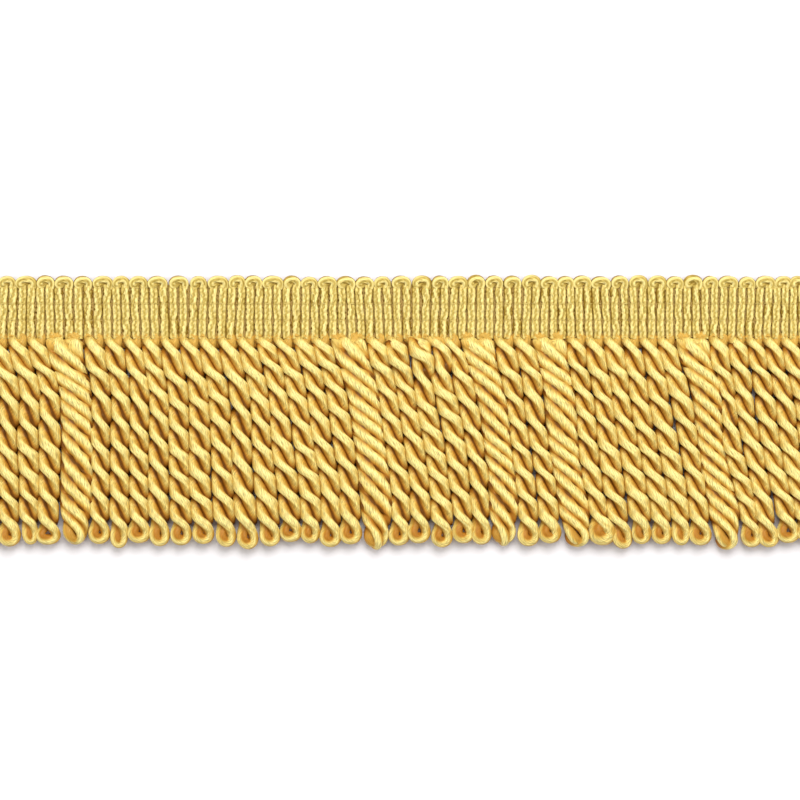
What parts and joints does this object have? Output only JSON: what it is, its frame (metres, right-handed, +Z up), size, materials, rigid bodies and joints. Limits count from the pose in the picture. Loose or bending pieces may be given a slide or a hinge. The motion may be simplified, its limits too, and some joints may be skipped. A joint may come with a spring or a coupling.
{
  "type": "cord fringe trim",
  "caption": "Cut length of upholstery fringe: a ribbed heading with looped edge, and a skirt of twisted hanging cords with closed loop tips.",
  "frame": {"origin": "middle of the whole part's underside, on the surface that the trim lies on", "axes": "+X along the trim, +Y from the cords' tips to the looped edge of the heading, +Z up from the surface"},
  "size_m": [0.212, 0.0656, 0.005],
  "materials": {
    "heading_yarn": "satin",
    "cord_yarn": "satin"
  },
  "bodies": {
    "root": {"heading": "heading_yarn", "cord_skirt": "cord_yarn"}
  },
  "joints": []
}
